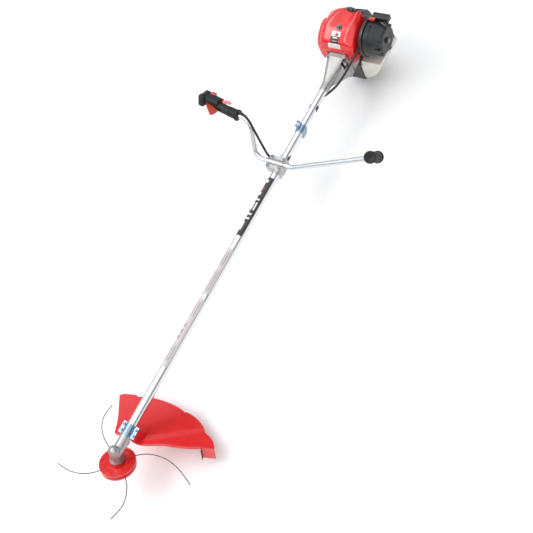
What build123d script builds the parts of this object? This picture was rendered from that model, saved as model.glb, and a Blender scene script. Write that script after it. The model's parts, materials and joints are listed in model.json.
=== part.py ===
from build123d import *
import os
from math import atan2, cos, degrees, pi, radians, sin, tan

# Brush cutter with a small four-stroke engine, bicycle handlebar and a fixed-line trimmer head.
# Millimetres. +X runs forward along the shaft from the engine to the cutter, +Y is the operator's
# left and +Z is up, square to the shaft. The origin is the centre of the harness eye.

# Shaft line
shaft_z = -31.0            # shaft axis below the harness eye
lower_r = 14.0             # 28 mm lower tube
lower_wall = 0.95
upper_r = 13.0             # 26 mm upper tube, which plugs into the lower one
upper_wall = 1.5
joint_x = 120.0            # rear end of the lower tube
plug_length = 45.0
upper_rear_x = -214.0
drive_r = 4.0              # solid 8 mm drive shaft
running = 0.05             # radial clearance of a turning shaft

# Stations along the shaft
collar_x = -157.0          # front end of the clutch housing
flange_x = -279.0          # face that the clutch housing and the engine share
handle_x = 150.0
guard_x = 1075.0           # middle of the guard clamp
neck_x = 1094.0            # rear end of the gear case
gear_x = 1153.0            # where the shaft axis meets the output axis

# Gear case and head
tilt = radians(30)         # the shaft rises 30 degrees above the plane of the head
pinion_teeth = 14
wheel_teeth = 19
head_r = 54.0
line_r = 1.5               # 3 mm nylon line
line_z = -40.0             # height of the lines below the gear centre

# Engine
bore_r = 19.5
crank_throw = 14.0
flywheel_r = 50.0
cylinder_x = -345.0        # axis of the cylinder, square to the crankshaft

# Handlebar
bar_r = 8.5
bar_lean = radians(30)     # the bar leans back towards the operator
bar_z = 28.0               # axis of the bar above the shaft axis

screw_r = 2.5              # M5 screws
head_screw_r = 4.25
head_screw_h = 5.0

os.makedirs("parts", exist_ok=True)
seat = (Align.CENTER, Align.CENTER, Align.MIN)


def across(x, y=0.0, z=0.0):
    """Section plane at station x, facing forward: its x is left and its y is up."""
    return Plane(origin=(x, y, shaft_z + z), x_dir=(0, 1, 0), z_dir=(1, 0, 0))


def level(z, x=0.0, y=0.0):
    """Level plane at height z above the shaft axis: its x is forward and its y is left."""
    return Plane(origin=(x, y, shaft_z + z), x_dir=(1, 0, 0), z_dir=(0, 0, 1))


def upright(y, x=0.0, z=0.0):
    """Upright plane at y, facing right: its x is forward and its y is up."""
    return Plane(origin=(x, y, shaft_z + z), x_dir=(1, 0, 0), z_dir=(0, -1, 0))


head_up = Vector(-sin(tilt), 0, cos(tilt))
head_forward = Vector(cos(tilt), 0, sin(tilt))
gear_centre = Vector(gear_x, 0, shaft_z)


def head(z, x=0.0, y=0.0):
    """Plane square to the output axis, z above the gear centre: its x is forward, its y is left."""
    origin = gear_centre + head_up * z + head_forward * x + Vector(0, y, 0)
    return Plane(origin=origin, x_dir=head_forward, z_dir=head_up)


def turned(plane, angle):
    """The same plane with its x turned by some degrees about its own z."""
    turn = radians(angle)
    x_dir = plane.x_dir * cos(turn) + plane.y_dir * sin(turn)
    return Plane(origin=plane.origin, x_dir=x_dir, z_dir=plane.z_dir)


def rod(plane, radius, length, mode=Mode.ADD):
    """A round bar that stands on its plane."""
    with Locations(plane):
        Cylinder(radius, length, align=seat, mode=mode)


def taper(plane, low_r, high_r, length, mode=Mode.ADD):
    """A cone that stands on its plane."""
    with Locations(plane):
        Cone(low_r, high_r, length, align=seat, mode=mode)


def block(plane, wide, deep, high, mode=Mode.ADD):
    """A box that stands on its plane, centred on its origin."""
    with Locations(plane):
        Box(wide, deep, high, align=seat, mode=mode)


def rounded(plane, wide, deep, corner, amount, mode=Mode.ADD):
    """A block with rounded upright corners that stands on its plane."""
    with BuildSketch(plane, mode=Mode.PRIVATE) as outline:
        RectangleRounded(wide, deep, corner)
    extrude(outline.sketch, amount=amount, mode=mode)


def screw(plane, length, radius=screw_r):
    """A socket-head screw: its head stands on the plane and its thread goes below it."""
    rod(plane, head_screw_r, head_screw_h)
    rod(plane.offset(-length), radius, length)
    rod(plane.offset(head_screw_h - 2.5), 1.9, 2.5, mode=Mode.SUBTRACT)


def save(piece, name):
    """Label a finished piece and write it under the name of its node."""
    piece.part.label = name
    export_step(piece.part, f"parts/{name}.step")


# ---------------------------------------------------------------- shaft
with BuildPart() as lower_tube:
    tube_length = neck_x + 26 - joint_x
    rod(across(joint_x), lower_r, tube_length)
    rod(across(joint_x), lower_r - lower_wall, tube_length, mode=Mode.SUBTRACT)
save(lower_tube, "lower_tube")

with BuildPart() as upper_tube:
    upper_length = joint_x + plug_length - upper_rear_x
    rod(across(upper_rear_x), upper_r, upper_length)
    rod(across(upper_rear_x), upper_r - upper_wall, upper_length, mode=Mode.SUBTRACT)
save(upper_tube, "upper_tube")

pinion_socket_x = gear_x - 22
drum_end_x = -262.0
with BuildPart() as drive_shaft:
    rod(across(drum_end_x), drive_r, pinion_socket_x - drum_end_x)
    chamfer(drive_shaft.edges().filter_by(GeomType.CIRCLE), length=0.6)
save(drive_shaft, "drive_shaft")

bush_length = 16.0
with BuildPart() as shaft_bushes:
    for bush_x in (-120, 60, 290, 520, 750, 980):
        fit_r = upper_r - upper_wall if bush_x < joint_x else lower_r - lower_wall
        rod(across(bush_x), fit_r, bush_length)
        rod(across(bush_x), 7.5, 4, mode=Mode.SUBTRACT)
        rod(across(bush_x), 6.5, 4)
        rod(across(bush_x), drive_r + running, bush_length, mode=Mode.SUBTRACT)
save(shaft_bushes, "shaft_bushes")

# ---------------------------------------------------------------- gear case and bevel gears
gear_body_r = 16.5
gear_top = 25.0            # where the dome starts, above the gear centre
gear_foot = -23.0          # lower face of the gear case
neck_r = 17.0
upper_bearing_z = 22.5
lower_bearing_z = -20.0
bearing_w = 7.0

with BuildPart() as gear_case:
    rod(head(gear_foot), gear_body_r, gear_top - gear_foot)
    with Locations(head(gear_top)):
        Sphere(gear_body_r, arc_size1=0)
    rod(across(neck_x), neck_r, gear_x - neck_x)
    rod(across(neck_x + 30), neck_r + 1.2, 3.5)
    rod(head(gear_foot), 21.0, 5.0)
    # clamp lugs of the neck, split at the rear
    block(across(neck_x + 8, z=-17), 14, 15, 16)
    # seat of the drive tube, of the pinion and of its bearing
    rod(across(neck_x), lower_r, 26, mode=Mode.SUBTRACT)
    rod(across(neck_x + 26), 11.0, gear_x - neck_x - 34, mode=Mode.SUBTRACT)
    # chamber of the wheel and seats of its bearings
    rod(head(-13), 13.4, 35, mode=Mode.SUBTRACT)
    rod(head(gear_foot), 13.0, 10, mode=Mode.SUBTRACT)
    rod(head(22), 9.5, 8, mode=Mode.SUBTRACT)
    block(across(neck_x - 1, z=-21), 2, 16, 26, mode=Mode.SUBTRACT)
    rod(upright(12, neck_x + 16, -20.5), screw_r, 30, mode=Mode.SUBTRACT)
    # threaded boss for the grease plug, on the right of the neck
    rod(upright(-11, gear_x - 8, 6), 5.5, 8)
    rod(upright(-10, gear_x - 8, 6), 3.0, 12, mode=Mode.SUBTRACT)
save(gear_case, "gear_case")

# straight bevel gears on 60 degree shafts, with their common apex at the gear centre
wheel_pitch_r = 11.5
shaft_angle = radians(60)
wheel_cone = atan2(sin(shaft_angle), pinion_teeth / wheel_teeth + cos(shaft_angle))
pinion_cone = shaft_angle - wheel_cone
cone_distance = wheel_pitch_r / sin(wheel_cone)
face_width = 6.0
addendum = 0.9
dedendum = 1.15


def bevel_section(plane, cone, count, phase, height):
    """The toothed outline of a bevel gear at some height above its apex."""
    size = height / (cone_distance * cos(cone))
    pitch_r = height * tan(cone)
    tip_r = pitch_r + addendum * size / cos(cone)
    root_r = pitch_r - dedendum * size / cos(cone)
    pitch = 2 * pi / count
    points = []
    for tooth in range(count):
        middle = (tooth + phase) * pitch
        for offset, radius in ((-0.22, root_r), (-0.1, tip_r), (0.1, tip_r), (0.22, root_r)):
            angle = middle + offset * pitch
            points.append((radius * cos(angle), radius * sin(angle)))
    with BuildSketch(plane.offset(height), mode=Mode.PRIVATE) as section:
        with BuildLine():
            Polyline(*points, close=True)
        make_face()
    return section.sketch.faces()[0]


def bevel_gear(plane, cone, count, phase, back, hub_r):
    """A straight bevel gear whose apex is at the plane's origin and that opens upwards."""
    heel = cone_distance * cos(cone)
    toe = (cone_distance - face_width) * cos(cone)
    loft([bevel_section(plane, cone, count, phase, toe), bevel_section(plane, cone, count, phase, heel)],
         ruled=True)
    rod(plane.offset(heel), hub_r, back - heel)


wheel_back = 21.5
pinion_back = 24.0
wheel_plane = head(0)
pinion_plane = Plane(origin=gear_centre, x_dir=(0, 0, 1), z_dir=(-1, 0, 0))

with BuildPart() as output_shaft:
    bevel_gear(wheel_plane, wheel_cone, wheel_teeth, 0.5, wheel_back, 7.5)
    rod(head(wheel_back), 5.0, 6.5)
    rod(head(lower_bearing_z - 4), 6.0, 4 - lower_bearing_z + 14)
    rod(head(lower_bearing_z - 34), 5.0, 30)
    rod(head(lower_bearing_z - 7.6), 12.0, 4.4)
save(output_shaft, "output_shaft")

with BuildPart() as pinion_gear:
    bevel_gear(pinion_plane, pinion_cone, pinion_teeth, 0.5, pinion_back, 6.0)
    rod(across(gear_x - 36), 6.0, 14)
    rod(across(gear_x - 36), drive_r, 36 - 22, mode=Mode.SUBTRACT)
save(pinion_gear, "pinion_gear")


def bearing(plane, inner, outer, width):
    """A ball bearing: two rings with a shallow seal groove on each side."""
    rod(plane, outer, width)
    middle = (inner + outer) / 2
    for face in (plane, plane.offset(width - 0.5)):
        with BuildSketch(face, mode=Mode.PRIVATE) as groove:
            Circle(middle + (outer - inner) / 4)
            Circle(middle - (outer - inner) / 4, mode=Mode.SUBTRACT)
        extrude(groove.sketch, amount=0.5, mode=Mode.SUBTRACT)
    rod(plane, inner, width, mode=Mode.SUBTRACT)


crank_bearing_x = -320.0
drum_bearing_x = -222.0
with BuildPart() as bearings:
    bearing(head(upper_bearing_z), 5.0 + running, 9.5, 5)
    bearing(head(lower_bearing_z), 6.0 + running, 13.0, bearing_w)
    bearing(across(gear_x - 34), 6.0 + running, 11.0, 8)
    bearing(across(drum_bearing_x), 6.0 + running, 13.0, 8)
    bearing(across(crank_bearing_x), 7.0 + running, 16.0, 9)
    bearing(across(-372), 7.0 + running, 16.0, 9)
save(bearings, "bearings")

# ---------------------------------------------------------------- trimmer head
disc_top = -31.0           # top of the upper disc
disc_low = -37.5           # its lower face
flange_top = -43.5         # top of the lower disc
flange_low = -50.0
eyelet_r = 50.0            # radius at which the lines leave the head
pocket_turn = 10.0         # angle of the first pocket

with BuildPart() as head_upper:
    rod(head(disc_low), head_r, disc_top - disc_low)
    rod(head(disc_top), 20.0, 3.4)
    # four kidney-shaped pockets and two pin holes in the top face
    for quarter in range(4):
        pocket_plane = turned(head(disc_top), 90 * quarter + pocket_turn)
        with BuildSketch(pocket_plane, mode=Mode.PRIVATE) as kidney:
            SlotArc(CenterArc((0, 0), 37, -26, 52), 15)
        extrude(kidney.sketch, amount=-3.5, mode=Mode.SUBTRACT)
    for side in (-1, 1):
        rod(head(disc_low, x=-25, y=6 * side), 1.6, 12, mode=Mode.SUBTRACT)
    rod(head(disc_low), 5.0, 12, mode=Mode.SUBTRACT)
save(head_upper, "head_upper")

# each line leaves an eyelet and springs round against the way the head turns;
# its route is a list of radius and angle about the output axis, forward being 0 degrees
line_routes = (
    ((50, -115.0), (66, -113.5), (86, -112.6), (112, -112.8), (140, -114.4), (168, -117.4),
     (194, -121.0), (216, -125.2), (235, -130.2)),
    ((50, -29.5), (64, -30.2), (82, -32.4), (104, -37.0), (128, -43.2), (154, -50.4), (181, -58.0)),
    ((50, 66.4), (66, 65.0), (86, 62.0), (110, 57.8), (136, 52.8), (160, 46.6), (183, 38.6)),
    ((50, 155.6), (66, 151.6), (86, 146.2), (112, 138.4), (142, 129.2), (172, 120.2),
     (202, 112.0), (233, 105.2)),
)
line_droop = 3.0           # how far a tip hangs below its eyelet


def line_points(route):
    """The points of a line's route in the row frame."""
    reach = route[-1][0] - eyelet_r
    points = []
    for radius, angle in route:
        turn = radians(angle)
        fall = line_droop * ((radius - eyelet_r) / reach) ** 2
        points.append(head(line_z - fall, radius * cos(turn), radius * sin(turn)).origin)
    return points


def corner_radii(points):
    """The largest arc at each corner of a route that its runs allow."""
    radii = []
    for before, corner, after in zip(points, points[1:], points[2:]):
        turn = radians((corner - before).get_angle(after - corner))
        run = min((corner - before).length, (after - corner).length)
        radii.append(0.45 * run / tan(turn / 2))
    return radii


def cord_solid(points, radius, name):
    """A round cord: straight runs joined by tangent arcs."""
    radii = corner_radii(points)
    with BuildLine(mode=Mode.PRIVATE) as path:
        FilletPolyline(*points, radius=radii)
    wire = path.wires()[0]
    start = Plane(origin=wire @ 0, z_dir=wire % 0)
    with BuildSketch(start, mode=Mode.PRIVATE) as section:
        Circle(radius)
    sweep(section.sketch, path=wire)
    print(name, "length", round(wire.length, 1), "section x length",
          round(pi * radius**2 * wire.length), "radii", [round(r) for r in radii])


for number, route in enumerate(line_routes, start=1):
    with BuildPart() as trimmer_line:
        cord_solid(line_points(route), line_r, f"line {number}")
    save(trimmer_line, f"trimmer_line_{number}")

with BuildPart() as head_lower:
    rod(head(flange_low), head_r - 1, flange_top - flange_low)
    rod(head(flange_top), 22.0, disc_low - flange_top)
    for route in line_routes:
        (near_r, near), (far_r, far) = route[0], route[1]
        start = Vector(near_r * cos(radians(near)), near_r * sin(radians(near)))
        leave = (Vector(far_r * cos(radians(far)), far_r * sin(radians(far))) - start).normalized()
        middle = start - leave * 4
        bearing_angle = degrees(atan2(leave.Y, leave.X))
        block(turned(head(flange_top, middle.X, middle.Y), bearing_angle), 8, 12, disc_low - flange_top)
    rod(head(flange_low), 5.0, 16, mode=Mode.SUBTRACT)
    rod(head(flange_low), 10.0, 3.0, mode=Mode.SUBTRACT)
save(head_lower, "head_lower")

with BuildPart() as head_nut:
    with BuildSketch(head(flange_low - 5)):
        RegularPolygon(9.0, 6)
    extrude(amount=8)
    rod(head(flange_low - 5), 5.0, 8, mode=Mode.SUBTRACT)
save(head_nut, "head_nut")

# ---------------------------------------------------------------- guard and its clamp
guard_wall = 3.0
guard_lip = 11.0
dome_top = 24.0            # height of the dome's apex above the gear centre
dome_slope = -0.149
guard_reach = 300.0
clamp_length = 36.0
pad_half = 30.0
clamp_bolt_y = 23.0
tab_inner = Vector(-165, 182)      # the end tab, inner and outer end
tab_outer = Vector(-182, 217)
tab_low = -62.0


def dome_zone(low, high):
    """The space between two heights counted from the guard's conical top surface."""
    section = Plane(origin=gear_centre, x_dir=head_forward, z_dir=(0, -1, 0))
    outer = dome_top + dome_slope * guard_reach
    with BuildSketch(section, mode=Mode.PRIVATE) as profile:
        with BuildLine():
            Polyline(
                (0, dome_top + low), (guard_reach, outer + low),
                (guard_reach, outer + high), (0, dome_top + high), close=True,
            )
        make_face()
    return revolve(profile.sketch, axis=Axis(gear_centre, head_up), mode=Mode.PRIVATE)


# corners of the guard seen from above, and the way each stretch runs to the next corner:
# a lone point ends a straight stretch, and a longer group is a smooth curve
guard_stretches = (
    ((-52, -53),),
    ((-98, -88), (-148, -136), (-179, -166)),
    ((-192, -157),),
    ((-208, -120),),
    ((-205, -109),),
    ((-228, -61), (-237, -22), (-241, 23), (-237, 57)),
    ((-241, 61),),
    ((-240, 95), (-222, 146)),
    ((-212, 158),),
    ((-208, 179),),
    ((-196, 203), (-182, 217)),
    ((-165, 182),),
    ((-141, 156), (-118, 119), (-99, 87), (-68, 49), (-58, 13)),
)


def guard_outline(inset):
    """The guard's outline, moved inwards by inset."""
    corners = [Vector(*point) for stretch in guard_stretches for point in stretch]
    moved = []
    for before, here, after in zip(corners[-1:] + corners[:-1], corners, corners[1:] + corners[:1]):
        first = (here - before).normalized()
        second = (after - here).normalized()
        inward = Vector(first.Y + second.Y, -first.X - second.X).normalized()
        half = (first + second).length / 2
        moved.append(here + inward * (inset / half))
    with BuildSketch(head(-60), mode=Mode.PRIVATE) as outline:
        with BuildLine():
            start = moved[-1]
            taken = 0
            for stretch in guard_stretches:
                through = [start] + moved[taken:taken + len(stretch)]
                if len(through) == 2:
                    Line(*through)
                else:
                    Spline(*through)
                start = through[-1]
                taken += len(stretch)
        make_face()
    return outline.sketch


tab_along = (tab_outer - tab_inner).normalized()
tab_angle = degrees(atan2(tab_along.Y, tab_along.X))
tab_middle = (tab_inner + tab_outer) * 0.5
tab_width = (tab_outer - tab_inner).length
guard_shell = dome_zone(-guard_lip, 0)
guard_inside = dome_zone(-guard_lip - 1, -guard_wall)
under_guard = dome_zone(-120, -guard_wall / 2)

with BuildPart() as guard_hollow:
    extrude(guard_outline(guard_wall), amount=120)
    add(guard_inside, mode=Mode.INTERSECT)

with BuildPart() as saddle:
    block(level(-70, guard_x), clamp_length, 2 * pad_half, 69.5)
    add(under_guard, mode=Mode.SUBTRACT)
    rod(across(guard_x - 40), lower_r, 80, mode=Mode.SUBTRACT)
    for side in (-1, 1):
        for step in (-9, 9):
            hole = level(-16, guard_x + step, clamp_bolt_y * side)
            rod(hole, screw_r, 20, mode=Mode.SUBTRACT)

with BuildPart() as guard:
    extrude(guard_outline(0), amount=120)
    add(guard_shell, mode=Mode.INTERSECT)
    add(guard_hollow.part, mode=Mode.SUBTRACT)
    add(saddle.part)
    # end tab that carries the line cutter
    tab = turned(head(tab_low, tab_middle.X, tab_middle.Y), tab_angle)
    tab_height = -tab_low + dome_top + dome_slope * 262 - 1.5
    block(tab, tab_width, guard_wall, tab_height)
    # room round the neck of the gear case
    rod(across(neck_x - 0.5), neck_r + 1, 40, mode=Mode.SUBTRACT)
    block(across(neck_x - 0.5, z=-17), 18, 34, 40, mode=Mode.SUBTRACT)
save(guard, "guard")

with BuildPart() as guard_clamp:
    rod(across(guard_x - clamp_length / 2), lower_r + 3.5, clamp_length)
    block(level(-0.5, guard_x), clamp_length, 2 * pad_half, 4.5)
    rod(across(guard_x - clamp_length / 2), lower_r, clamp_length, mode=Mode.SUBTRACT)
    block(level(-30.5, guard_x), clamp_length + 1, 80, 30, mode=Mode.SUBTRACT)
    for side in (-1, 1):
        for step in (-9, 9):
            rod(level(-1, guard_x + step, clamp_bolt_y * side), screw_r, 10, mode=Mode.SUBTRACT)
save(guard_clamp, "guard_clamp")

# blade that trims the lines, screwed to the inner end of the tab
blade_thick = 1.6
blade_plane = turned(head(-66, tab_inner.X, tab_inner.Y), tab_angle)
with BuildPart() as line_cutter:
    with Locations(blade_plane):
        with Locations((-blade_thick / 2, 0, 0)):
            Box(blade_thick, 17, 41, align=seat)
        with Locations((-blade_thick / 2, 0, 14)):
            Cylinder(2.0, 4, rotation=(0, 90, 0), mode=Mode.SUBTRACT)
save(line_cutter, "line_cutter")

# ---------------------------------------------------------------- handlebar
bar_up = Vector(-sin(bar_lean), 0, cos(bar_lean))
bar_front = Vector(cos(bar_lean), 0, sin(bar_lean))
bar_origin = Vector(handle_x, 0, shaft_z + bar_z)
bar_end_y = 30.0


def on_bar(left, up, front=0.0):
    """A point of the leaning handlebar plane."""
    return bar_origin + Vector(0, left, 0) + bar_up * up + bar_front * front


right_turn = on_bar(-79, 0)
right_top = on_bar(-91, 125)
right_end = on_bar(-254, 154)
left_turn = on_bar(60, 0)
left_top = on_bar(368, 122)
left_end = left_top + Vector(0.49, 0.26, 0.84).normalized() * 150


def tube_along(points, radii, outer, wall):
    """A bent tube."""
    with BuildLine(mode=Mode.PRIVATE) as path:
        FilletPolyline(*points, radius=radii)
    wire = path.wires()[0]
    start = Plane(origin=wire @ 0, z_dir=wire % 0)
    with BuildSketch(start, mode=Mode.PRIVATE) as section:
        Circle(outer)
        Circle(outer - wall, mode=Mode.SUBTRACT)
    sweep(section.sketch, path=wire)


with BuildPart() as right_handle:
    tube_along([on_bar(0.5, 0), right_turn, right_top, right_end][::-1], [36, 34], bar_r, 1.6)
save(right_handle, "right_handle")

with BuildPart() as left_handle:
    tube_along([on_bar(1.0, 0), left_turn, left_top, left_end], [60, 40], bar_r, 1.6)
save(left_handle, "left_handle")


def facing(origin, along, side):
    """A plane at origin that faces along, with its x close to side."""
    x_dir = (side - along * side.dot(along)).normalized()
    return Plane(origin=origin, x_dir=x_dir, z_dir=along)


left_grip_dir = (left_end - left_top).normalized()
grip_length = 112.0
left_grip_plane = facing(left_end - left_grip_dir * (grip_length - 5), left_grip_dir, Vector(0, 1, 0))
with BuildPart() as left_grip:
    rod(left_grip_plane, 15.0, grip_length)
    rod(left_grip_plane, 17.5, 5)
    rod(left_grip_plane.offset(grip_length - 8), 17.0, 8)
    rod(left_grip_plane, bar_r, grip_length - 5, mode=Mode.SUBTRACT)
    rod(left_grip_plane, 2.5, grip_length, mode=Mode.SUBTRACT)
save(left_grip, "left_grip")

# throttle grip: a sleeve on the right end of the bar, with a head that holds the controls;
# its plane faces outwards along the bar, its x points forward and its y up
throttle_dir = (right_end - right_top).normalized()
sleeve_length = 84.0
head_length = 72.0
bar_in_grip = 122.0
throttle_plane = facing(right_end - throttle_dir * bar_in_grip, throttle_dir, bar_front)


def throttle(front, up, out):
    """A plane on the throttle grip, parallel to its cross-section."""
    origin = (
        throttle_plane.origin
        + throttle_plane.x_dir * front
        + throttle_plane.y_dir * up
        + throttle_plane.z_dir * out
    )
    return Plane(origin=origin, x_dir=throttle_plane.x_dir, z_dir=throttle_plane.z_dir)


lever_slot = 7.0
lever_half = 3.0
lockout_turn = 135.0       # the lockout lever lies at the back, above the bar
with BuildPart() as throttle_grip:
    rod(throttle(0, 0, 0), 15.0, sleeve_length)
    rod(throttle(0, 0, 0), 17.0, 8)
    rounded(throttle(-5, 5, sleeve_length - 6), 38, 34, 11, head_length)
    fillet(throttle_grip.faces().sort_by(Axis(right_top, throttle_dir))[-1].edges(), 6)
    # hollow of the bar, then the room for the levers and the switch
    rod(throttle(0, 0, 0), bar_r, bar_in_grip, mode=Mode.SUBTRACT)
    block(throttle(17, 0, 60), 14, lever_slot, 60, mode=Mode.SUBTRACT)
    with Locations(turned(throttle(0, 0, 40), lockout_turn)):
        with Locations((20, 0, 0)):
            Box(20, lever_slot, 46, align=seat, mode=Mode.SUBTRACT)
    block(throttle(-20, 16, 111.5), 12, 13, 22, mode=Mode.SUBTRACT)
save(throttle_grip, "throttle_grip")


def lever_sketch(points, turn=0.0):
    """An outline in the plane of a lever: first away from the bar, then outward along the grip."""
    base = turned(throttle_plane, turn)
    plane = Plane(origin=base.origin, x_dir=base.x_dir, z_dir=base.y_dir)
    corners = [base.origin + base.x_dir * away + base.z_dir * out for away, out in points]
    local = [plane.to_local_coords(corner) for corner in corners]
    with BuildSketch(plane, mode=Mode.PRIVATE) as outline:
        with BuildLine():
            Polyline(*[(point.X, point.Y) for point in local], close=True)
        make_face()
    return outline.sketch


trigger_outline = ((11, 112), (24, 66), (40, 65), (54, 69), (53, 75), (40, 92), (27, 108), (16, 119),
                   (11, 118))
lockout_outline = ((11, 80), (21, 44), (26, 45), (29, 50), (28, 60), (20, 83), (11, 83))
with BuildPart() as throttle_trigger:
    extrude(lever_sketch(trigger_outline), amount=lever_half, both=True)
save(throttle_trigger, "throttle_trigger")

with BuildPart() as lockout_lever:
    extrude(lever_sketch(lockout_outline, lockout_turn), amount=lever_half, both=True)
save(lockout_lever, "lockout_lever")

with BuildPart() as stop_switch:
    rounded(throttle(-23, 16, 112), 14, 12, 2, 16)
save(stop_switch, "stop_switch")

# clamp of the bar: a bracket pinched on the tube and a cap over the bar
bracket_length = 44.0
handle_step = 17.0
with BuildPart() as handle_bracket:
    rod(across(handle_x - bracket_length / 2), lower_r + 5, bracket_length)
    block(level(0, handle_x), bracket_length, 2 * bar_end_y, bar_z)
    block(level(-30, handle_x), bracket_length, 16, 16)
    rod(across(handle_x - bracket_length / 2), lower_r, bracket_length, mode=Mode.SUBTRACT)
    rod(upright(60, handle_x, bar_z), bar_r, 120, mode=Mode.SUBTRACT)
    block(level(-31, handle_x), bracket_length + 1, 2.5, 18, mode=Mode.SUBTRACT)
    for step in (-1, 1):
        rod(upright(10, handle_x + 12 * step, -24), screw_r, 20, mode=Mode.SUBTRACT)
        for side in (-1, 1):
            rod(level(-4, handle_x + handle_step * step, 22 * side), screw_r, 40, mode=Mode.SUBTRACT)
save(handle_bracket, "handle_bracket")

with BuildPart() as handle_cap:
    rod(upright(bar_end_y, handle_x, bar_z), bar_r + 3.5, 2 * bar_end_y)
    block(level(bar_z, handle_x), bracket_length, 2 * bar_end_y, 5)
    rod(upright(60, handle_x, bar_z), bar_r, 120, mode=Mode.SUBTRACT)
    block(level(bar_z - 30, handle_x), bracket_length + 1, 90, 30.5, mode=Mode.SUBTRACT)
    for side in (-1, 1):
        for step in (-1, 1):
            hole = level(bar_z - 5, handle_x + handle_step * step, 22 * side)
            rod(hole, screw_r, 20, mode=Mode.SUBTRACT)
save(handle_cap, "handle_cap")

# ---------------------------------------------------------------- harness hanger and cable clips
eye_r = 7.0
eye_wall = 5.0
hanger_length = 26.0
with BuildPart() as hanger_clamp:
    rod(across(-hanger_length / 2), upper_r + 3.5, hanger_length)
    block(level(-upper_r - 15, 0), hanger_length, 14, 14)
    block(level(upper_r - 1, 0), 2 * eye_r + 10, eye_wall, 20)
    rod(upright(eye_wall / 2, 0, -shaft_z), eye_r + 5, eye_wall)
    rod(across(-hanger_length / 2), upper_r, hanger_length, mode=Mode.SUBTRACT)
    rod(upright(10, 0, -shaft_z), eye_r, 20, mode=Mode.SUBTRACT)
    block(level(-upper_r - 16, 0), hanger_length + 1, 2.5, 18, mode=Mode.SUBTRACT)
    for step in (-7, 7):
        rod(upright(10, step, -upper_r - 8), screw_r, 20, mode=Mode.SUBTRACT)
save(hanger_clamp, "hanger_clamp")

cable_r = 3.8
cable_y = -15.5            # the cable runs below the tube, on its right
cable_z = -14.2
with BuildPart() as cable_clips:
    # open straps under the tube, each with a ring for the cable
    rod(across(-97), upper_r + 2.2, 14)
    rod(across(94), upper_r + 2.2, 25)
    block(level(5, 0), 300, 40, 20, mode=Mode.SUBTRACT)
    block(level(-7, 99), 12, 40, 20, mode=Mode.SUBTRACT)
    for ring_x, ring_w in ((-97, 14), (94, 6)):
        rod(across(ring_x, cable_y, cable_z), cable_r + 3, ring_w)
    rod(across(-97, cable_y, cable_z), cable_r, 216, mode=Mode.SUBTRACT)
    rod(across(-98), upper_r, 220, mode=Mode.SUBTRACT)
save(cable_clips, "cable_clips")

# ---------------------------------------------------------------- clutch
def leftward(y, x=0.0, z=0.0):
    """Upright plane at y, facing left: its x is up and its y is forward."""
    return Plane(origin=(x, y, shaft_z + z), x_dir=(0, 0, 1), z_dir=(0, 1, 0))


def prism(plane, corners, amount, mode=Mode.ADD):
    """A straight-sided block with the given outline."""
    with BuildSketch(plane, mode=Mode.PRIVATE) as outline:
        with BuildLine():
            Polyline(*corners, close=True)
        make_face()
    extrude(outline.sketch, amount=amount, mode=mode)


def shrunk(corners, amount):
    """The corners of an outline moved inwards; they run clockwise."""
    moved = []
    points = [Vector(*corner) for corner in corners]
    for before, here, after in zip(points[-1:] + points[:-1], points, points[1:] + points[:1]):
        first = (here - before).normalized()
        second = (after - here).normalized()
        inward = Vector(first.Y + second.Y, -first.X - second.X).normalized()
        half = (first + second).length / 2
        point = here + inward * (amount / half)
        moved.append((point.X, point.Y))
    return moved


flange_z = -11.0           # middle of the flange
flange_w = 76.0
flange_h = 98.0
flange_screw_y = 31.0
flange_screw_z = 40.0
flange_thick = 11.0
pad_x = -287.0             # rear of the pad that the flange sits on
clutch_r = 33.0            # chamber of the clutch

with BuildPart() as clutch_housing:
    rod(across(-186), 16.0, collar_x + 186)
    with BuildSketch(across(-184), mode=Mode.PRIVATE) as narrow:
        RectangleRounded(31.6, 31.6, 15.7)
    with BuildSketch(across(flange_x + flange_thick, z=flange_z), mode=Mode.PRIVATE) as wide:
        RectangleRounded(flange_w - 2, flange_h - 2, 20)
    loft([narrow.sketch.faces()[0], wide.sketch.faces()[0]])
    rounded(across(flange_x, z=flange_z), flange_w, flange_h, 14, flange_thick)
    # seat of the tube, seat of the drum's bearing, and the chamber
    rod(across(upper_rear_x), upper_r, 80, mode=Mode.SUBTRACT)
    rod(across(drum_bearing_x - 2), 13.0, 10, mode=Mode.SUBTRACT)
    taper(across(-262), 30, 12, 38, mode=Mode.SUBTRACT)
    rod(across(flange_x), clutch_r, 17, mode=Mode.SUBTRACT)
    block(leftward(20, -262, 14), 28, 24, 30, mode=Mode.SUBTRACT)
    for side in (-1, 1):
        for step in (-1, 1):
            hole = across(flange_x, flange_screw_y * side, flange_z + flange_screw_z * step)
            rod(hole, screw_r, 12, mode=Mode.SUBTRACT)
            rod(hole.offset(7), 5.5, 40, mode=Mode.SUBTRACT)
save(clutch_housing, "clutch_housing")

with BuildPart() as clutch_drum:
    rod(across(-264), 31.0, 2)
    rod(across(-276), 31.0, 12)
    rod(across(-276), 28.0, 12, mode=Mode.SUBTRACT)
    rod(across(-264), 10.0, 34)
    rod(across(drum_bearing_x - 8), 10.0, 40, mode=Mode.SUBTRACT)
    rod(across(-264), 6.0, 51)
    rod(across(-265), drive_r, 53, mode=Mode.SUBTRACT)
save(clutch_drum, "clutch_drum")

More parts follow.
